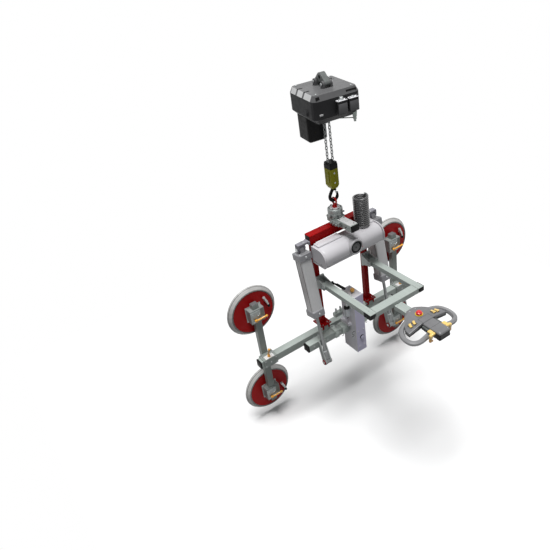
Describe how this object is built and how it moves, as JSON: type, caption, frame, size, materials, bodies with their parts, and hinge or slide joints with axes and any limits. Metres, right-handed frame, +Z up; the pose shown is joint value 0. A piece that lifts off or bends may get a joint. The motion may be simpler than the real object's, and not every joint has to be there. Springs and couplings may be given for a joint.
{
  "type": "vacuum glass lifter",
  "caption": "Chain hoist with hook, hung vacuum lifter with tilting beam frame, suction pads on sliding arms, tilt cylinders and a two-grip control handle.",
  "frame": {"origin": "centre of the suspension eye's bore, from which the whole machine hangs", "axes": "+Z up, +X along the beams to the operator's right, +Y away from the operator towards the glass"},
  "size_m": [1.362, 0.9842, 2.0005],
  "materials": {
    "suspension_eye": "satin dark",
    "hoist_cover": "mid grey paint",
    "hoist_housing": "charcoal paint",
    "chain_container": "black textured",
    "plug_connectors": "grey moulded",
    "chain_fall_left": "plated steel",
    "chain_fall_right": "plated steel",
    "hook_block": "olive yellow paint",
    "hook_block_cap": "black",
    "load_hook": "black forged",
    "hook_latch": "plated",
    "lifting_eye": "red paint",
    "rotary_union": "grey",
    "head_beam": "mill finish",
    "valve_block": "machined",
    "frame_crossbar": "red paint",
    "spiral_hose": "black coil",
    "vacuum_unit_cover": "silver white paint",
    "vacuum_pump_body": "grey",
    "vacuum_gauge": "grey case",
    "pivot_beam": "mill finish",
    "cross_beam": "mill finish",
    "valve_box": "pale lavender paint",
    "box_knob": "orange",
    "manifold": "machined",
    "vacuum_filter": "clear bowl",
    "handle_frame": "mill finish",
    "control_housing": "metallic grey",
    "emergency_stop": "red",
    "frame_lock_lever": "black",
    "upright_left": "red paint",
    "cylinder_hanger_left": "pale paint",
    "handle_bracket_left": "grey",
    "cylinder_left": "grey anodised",
    "piston_rod_left": "polished",
    "pad_arm_left": "mill finish",
    "clamp_lever_left": "orange",
    "grip_left": "silver tube",
    "trigger_left": "cream",
    "button_left_inner": "cream",
    "button_left_outer": "cream",
    "pad_holder_upper_left": "dark red paint",
    "pad_seal_upper_left": "grey rubber",
    "pad_holder_lower_left": "dark red paint",
    "pad_seal_lower_left": "grey rubber",
    "upright_right": "red paint",
    "cylinder_hanger_right": "pale paint",
    "handle_bracket_right": "grey",
    "cylinder_right": "grey anodised",
    "piston_rod_right": "polished",
    "pad_arm_right": "mill finish",
    "clamp_lever_right": "orange",
    "grip_right": "silver tube",
    "trigger_right": "cream",
    "button_right_inner": "cream",
    "button_right_outer": "cream",
    "pad_holder_upper_right": "dark red paint",
    "pad_seal_upper_right": "grey rubber",
    "pad_holder_lower_right": "dark red paint",
    "pad_seal_lower_right": "grey rubber"
  },
  "bodies": {
    "hoist": {"suspension_eye": "suspension_eye", "hoist_cover": "hoist_cover", "hoist_housing": "hoist_housing", "chain_container": "chain_container", "plug_connectors": "plug_connectors"},
    "hook_block": {"hook_block": "hook_block", "hook_block_cap": "hook_block_cap", "chain_fall_left": "chain_fall_left", "chain_fall_right": "chain_fall_right"},
    "hook": {"load_hook": "load_hook", "lifting_eye": "lifting_eye"},
    "latch": {"hook_latch": "hook_latch"},
    "frame": {"rotary_union": "rotary_union", "head_beam": "head_beam", "valve_block": "valve_block", "frame_crossbar": "frame_crossbar", "upright_left": "upright_left", "upright_right": "upright_right", "cylinder_hanger_left": "cylinder_hanger_left", "cylinder_hanger_right": "cylinder_hanger_right", "vacuum_unit_cover": "vacuum_unit_cover", "vacuum_pump_body": "vacuum_pump_body", "vacuum_gauge": "vacuum_gauge", "spiral_hose": "spiral_hose", "handle_bracket_left": "handle_bracket_left", "handle_bracket_right": "handle_bracket_right"},
    "pad_frame": {"pivot_beam": "pivot_beam", "cross_beam": "cross_beam", "valve_box": "valve_box", "manifold": "manifold", "vacuum_filter": "vacuum_filter"},
    "box_knob": {"box_knob": "box_knob"},
    "handle": {"handle_frame": "handle_frame", "control_housing": "control_housing", "grip_left": "grip_left", "grip_right": "grip_right"},
    "lock_lever": {"frame_lock_lever": "frame_lock_lever"},
    "emergency_stop": {"emergency_stop": "emergency_stop"},
    "cylinder_left": {"cylinder_left": "cylinder_left"},
    "piston_left": {"piston_rod_left": "piston_rod_left"},
    "arm_left": {"pad_arm_left": "pad_arm_left"},
    "clamp_left": {"clamp_lever_left": "clamp_lever_left"},
    "trigger_left": {"trigger_left": "trigger_left"},
    "pad_upper_left": {"pad_holder_upper_left": "pad_holder_upper_left", "pad_seal_upper_left": "pad_seal_upper_left"},
    "pad_lower_left": {"pad_holder_lower_left": "pad_holder_lower_left", "pad_seal_lower_left": "pad_seal_lower_left"},
    "button_left_inner": {"button_left_inner": "button_left_inner"},
    "button_left_outer": {"button_left_outer": "button_left_outer"},
    "cylinder_right": {"cylinder_right": "cylinder_right"},
    "piston_right": {"piston_rod_right": "piston_rod_right"},
    "arm_right": {"pad_arm_right": "pad_arm_right"},
    "clamp_right": {"clamp_lever_right": "clamp_lever_right"},
    "trigger_right": {"trigger_right": "trigger_right"},
    "pad_upper_right": {"pad_holder_upper_right": "pad_holder_upper_right", "pad_seal_upper_right": "pad_seal_upper_right"},
    "pad_lower_right": {"pad_holder_lower_right": "pad_holder_lower_right", "pad_seal_lower_right": "pad_seal_lower_right"},
    "button_right_inner": {"button_right_inner": "button_right_inner"},
    "button_right_outer": {"button_right_outer": "button_right_outer"}
  },
  "joints": [
    {"name": "hoist_lift", "type": "slide", "parent": "hoist", "child": "hook_block", "axis": [0, 0, 1], "range_m": [-0.03, 0.045]},
    {"name": "hook_swivel", "type": "hinge", "parent": "hook_block", "child": "hook", "pos_m": [0, 0, -0.572], "axis": [0, 0, 1], "continuous": true},
    {"name": "latch_turn", "type": "hinge", "parent": "hook", "child": "latch", "pos_m": [0.0135, 0, -0.587], "axis": [0, 1, 0], "range_deg": [0, 30], "stiffness_Nm_per_rad": 0.05, "springref_deg": -11.46},
    {"name": "union_swivel", "type": "hinge", "parent": "hook", "child": "frame", "pos_m": [0, 0, -0.689], "axis": [0, 0, 1], "continuous": true},
    {"name": "pad_tilt", "type": "hinge", "parent": "frame", "child": "pad_frame", "pos_m": [0, -0.025, -1.404], "axis": [-1, 0, 0], "range_deg": [0, 90]},
    {"name": "box_knob_turn", "type": "hinge", "parent": "pad_frame", "child": "box_knob", "pos_m": [0, -0.09, -1.211], "axis": [0, 0, 1], "range_deg": [0, 90]},
    {"name": "handle_tilt", "type": "hinge", "parent": "frame", "child": "handle", "pos_m": [0, -0.085, -1.083], "axis": [1, 0, 0], "range_deg": [-20, 20]},
    {"name": "frame_lock_turn", "type": "hinge", "parent": "frame", "child": "lock_lever", "pos_m": [-0.129, -0.085, -1.083], "axis": [1, 0, 0], "range_deg": [0, 60]},
    {"name": "emergency_stop_press", "type": "slide", "parent": "handle", "child": "emergency_stop", "axis": [0, 0, -1], "range_m": [0, 0.004], "stiffness_N_per_m": 1500, "springref_m": -0.002},
    {"name": "cylinder_left_swing", "type": "hinge", "parent": "frame", "child": "cylinder_left", "pos_m": [-0.25, 0, -0.838], "axis": [-1, 0, 0], "range_deg": [0, 12]},
    {"name": "piston_left_slide", "type": "slide", "parent": "cylinder_left", "child": "piston_left", "axis": [0, 0.1659, 0.9861], "range_m": [0, 0.232]},
    {"name": "arm_left_slide", "type": "slide", "parent": "pad_frame", "child": "arm_left", "axis": [1, 0, 0], "range_m": [-0.01, 0.25]},
    {"name": "clamp_left_turn", "type": "hinge", "parent": "arm_left", "child": "clamp_left", "pos_m": [-0.521, 0.078, -1.495], "axis": [0, 0, 1], "range_deg": [0, 60]},
    {"name": "pad_upper_left_slide", "type": "slide", "parent": "arm_left", "child": "pad_upper_left", "axis": [0, 0, 1], "range_m": [-0.14, 0.02]},
    {"name": "pad_lower_left_slide", "type": "slide", "parent": "arm_left", "child": "pad_lower_left", "axis": [0, 0, 1], "range_m": [-0.02, 0.14]},
    {"name": "trigger_left_turn", "type": "hinge", "parent": "handle", "child": "trigger_left", "pos_m": [-0.04265, -0.678, -1.091], "axis": [0, 0, -1], "range_deg": [0, 7], "stiffness_Nm_per_rad": 0.6, "springref_deg": -2.86},
    {"name": "button_left_inner_press", "type": "slide", "parent": "handle", "child": "button_left_inner", "axis": [0.2149, 0, -0.9766], "range_m": [0, 0.0025], "stiffness_N_per_m": 500, "springref_m": -0.001},
    {"name": "button_left_outer_press", "type": "slide", "parent": "handle", "child": "button_left_outer", "axis": [0.2149, 0, -0.9766], "range_m": [0, 0.0025], "stiffness_N_per_m": 500, "springref_m": -0.001},
    {"name": "cylinder_right_swing", "type": "hinge", "parent": "frame", "child": "cylinder_right", "pos_m": [0.25, 0, -0.838], "axis": [-1, 0, 0], "range_deg": [0, 12]},
    {"name": "piston_right_slide", "type": "slide", "parent": "cylinder_right", "child": "piston_right", "axis": [0, 0.1659, 0.9861], "range_m": [0, 0.232]},
    {"name": "arm_right_slide", "type": "slide", "parent": "pad_frame", "child": "arm_right", "axis": [-1, 0, 0], "range_m": [-0.01, 0.25]},
    {"name": "clamp_right_turn", "type": "hinge", "parent": "arm_right", "child": "clamp_right", "pos_m": [0.521, 0.078, -1.495], "axis": [0, 0, 1], "range_deg": [0, 60]},
    {"name": "pad_upper_right_slide", "type": "slide", "parent": "arm_right", "child": "pad_upper_right", "axis": [0, 0, 1], "range_m": [-0.14, 0.02]},
    {"name": "pad_lower_right_slide", "type": "slide", "parent": "arm_right", "child": "pad_lower_right", "axis": [0, 0, 1], "range_m": [-0.02, 0.14]},
    {"name": "trigger_right_turn", "type": "hinge", "parent": "handle", "child": "trigger_right", "pos_m": [0.04265, -0.678, -1.091], "axis": [0, 0, 1], "range_deg": [0, 7], "stiffness_Nm_per_rad": 0.6, "springref_deg": -2.86},
    {"name": "button_right_inner_press", "type": "slide", "parent": "handle", "child": "button_right_inner", "axis": [-0.2149, 0, -0.9766], "range_m": [0, 0.0025], "stiffness_N_per_m": 500, "springref_m": -0.001},
    {"name": "button_right_outer_press", "type": "slide", "parent": "handle", "child": "button_right_outer", "axis": [-0.2149, 0, -0.9766], "range_m": [0, 0.0025], "stiffness_N_per_m": 500, "springref_m": -0.001}
  ],
  "couplings": [
    {"joint": "cylinder_left_swing", "follows": "pad_tilt", "ratio": 0.13189},
    {"joint": "piston_left_slide", "follows": "pad_tilt", "m_per_rad": 0.14731},
    {"joint": "cylinder_right_swing", "follows": "pad_tilt", "ratio": 0.13189},
    {"joint": "piston_right_slide", "follows": "pad_tilt", "m_per_rad": 0.14731}
  ]
}
